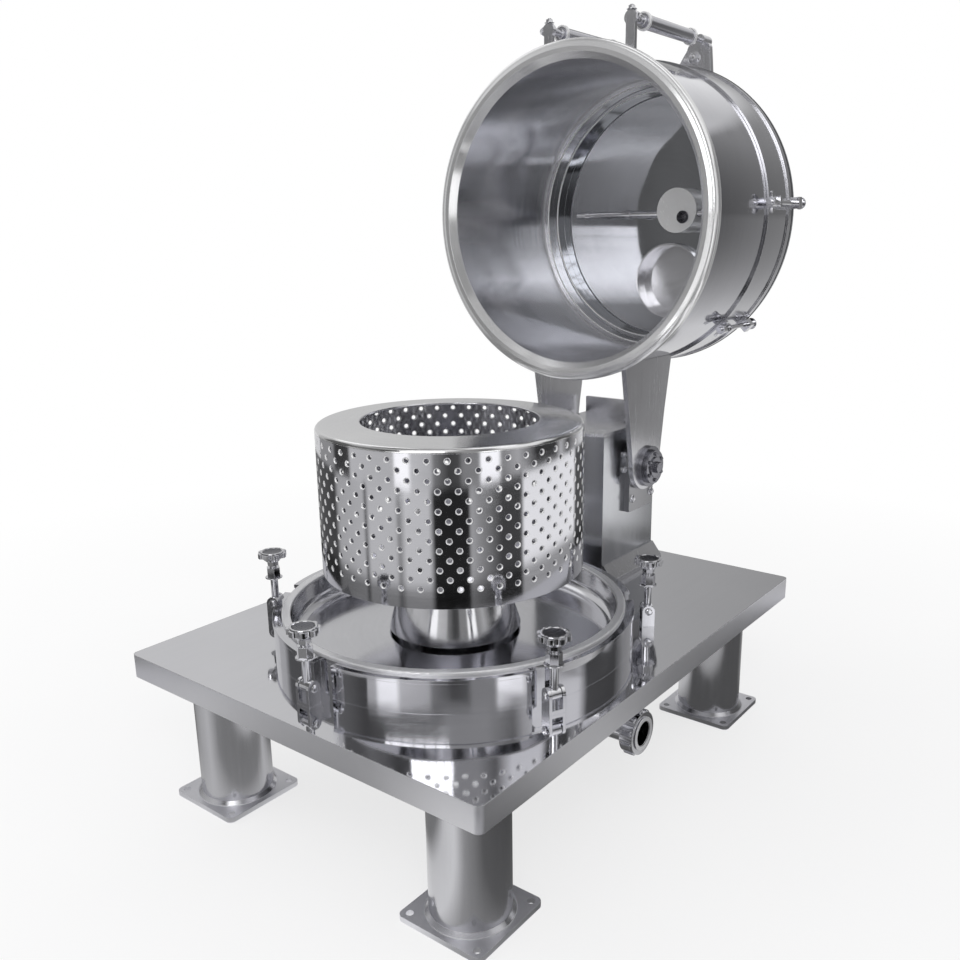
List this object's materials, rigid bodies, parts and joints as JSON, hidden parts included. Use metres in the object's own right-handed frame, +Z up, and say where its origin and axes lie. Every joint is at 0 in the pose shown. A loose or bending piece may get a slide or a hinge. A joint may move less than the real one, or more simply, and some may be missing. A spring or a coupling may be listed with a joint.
{
  "type": "screen centrifuge",
  "caption": "Flat-plate basket centrifuge with a perforated spinning basket, ring tray, swing-bolt clamps, hinged full-opening cover and bolted feet.",
  "frame": {"origin": "centre of the foot bolt pattern, on the floor", "axes": "+Z up, +Y towards the cover's hinge, +X towards the drain outlet"},
  "size_m": [1.012, 1.543, 1.7777],
  "materials": {
    "polished_steel": "mirror-polished stainless steel",
    "brushed_steel": "brushed stainless steel",
    "machined_steel": "turned and milled steel",
    "bright_fittings": "bright polished fittings"
  },
  "bodies": {
    "root": {"deck": "polished_steel", "leg_front_left": "brushed_steel", "leg_front_right": "brushed_steel", "leg_rear_left": "brushed_steel", "leg_rear_right": "brushed_steel", "tray_wall": "polished_steel", "tray_ledge": "polished_steel", "tray_rim": "brushed_steel", "tray_pan": "polished_steel", "bearing_housing": "machined_steel", "belt_guard": "machined_steel", "drain_pipe": "polished_steel", "hinge_box": "brushed_steel", "hinge_box_lid": "polished_steel", "hinge_box_feet": "brushed_steel", "hinge_ear_left": "machined_steel", "hinge_ear_right": "machined_steel", "clamp_brackets": "bright_fittings"},
    "basket": {"basket_wall": "brushed_steel", "basket_lip": "polished_steel", "basket_floor": "brushed_steel", "basket_skirt": "polished_steel", "spindle": "machined_steel"},
    "cover": {"shell_inner": "brushed_steel", "shell_outer": "brushed_steel", "mouth_ring": "polished_steel", "lid_flange": "polished_steel", "lid": "polished_steel", "feed_nozzle": "brushed_steel", "wash_pipe": "polished_steel", "inspection_port": "brushed_steel", "hinge_arm_left": "brushed_steel", "hinge_arm_right": "brushed_steel", "hinge_shaft": "bright_fittings", "lid_springs": "bright_fittings", "spring_lugs": "bright_fittings", "lid_clamps": "bright_fittings"},
    "swing_bolt_1_body": {"swing_bolt_1": "bright_fittings", "knob_1": "bright_fittings"},
    "swing_bolt_2_body": {"swing_bolt_2": "bright_fittings", "knob_2": "bright_fittings"},
    "swing_bolt_3_body": {"swing_bolt_3": "bright_fittings", "knob_3": "bright_fittings"},
    "swing_bolt_4_body": {"swing_bolt_4": "bright_fittings", "knob_4": "bright_fittings"},
    "swing_bolt_5_body": {"swing_bolt_5": "bright_fittings", "knob_5": "bright_fittings"}
  },
  "joints": [
    {"name": "basket_spin", "type": "hinge", "parent": "root", "child": "basket", "pos_m": [0, -0.13, 0.7], "axis": [0, 0, 1], "continuous": true},
    {"name": "cover_hinge", "type": "hinge", "parent": "root", "child": "cover", "pos_m": [0, 0.525, 0.655], "axis": [1, 0, 0], "range_deg": [0, 90]},
    {"name": "swing_bolt_1_hinge", "type": "hinge", "parent": "root", "child": "swing_bolt_1_body", "pos_m": [0, -0.588, 0.404], "axis": [1, 0, 0], "range_deg": [-12, 80]},
    {"name": "swing_bolt_2_hinge", "type": "hinge", "parent": "root", "child": "swing_bolt_2_body", "pos_m": [0.41509, -0.32356, 0.404], "axis": [0.4226, 0.9063, 0], "range_deg": [-12, 80]},
    {"name": "swing_bolt_3_hinge", "type": "hinge", "parent": "root", "child": "swing_bolt_3_body", "pos_m": [0.35085, 0.1644, 0.404], "axis": [-0.6428, 0.766, 0], "range_deg": [-12, 80]},
    {"name": "swing_bolt_4_hinge", "type": "hinge", "parent": "root", "child": "swing_bolt_4_body", "pos_m": [-0.35085, 0.1644, 0.404], "axis": [-0.6428, -0.766, 0], "range_deg": [-12, 80]},
    {"name": "swing_bolt_5_hinge", "type": "hinge", "parent": "root", "child": "swing_bolt_5_body", "pos_m": [-0.41509, -0.32356, 0.404], "axis": [0.4226, -0.9063, 0], "range_deg": [-12, 80]}
  ]
}
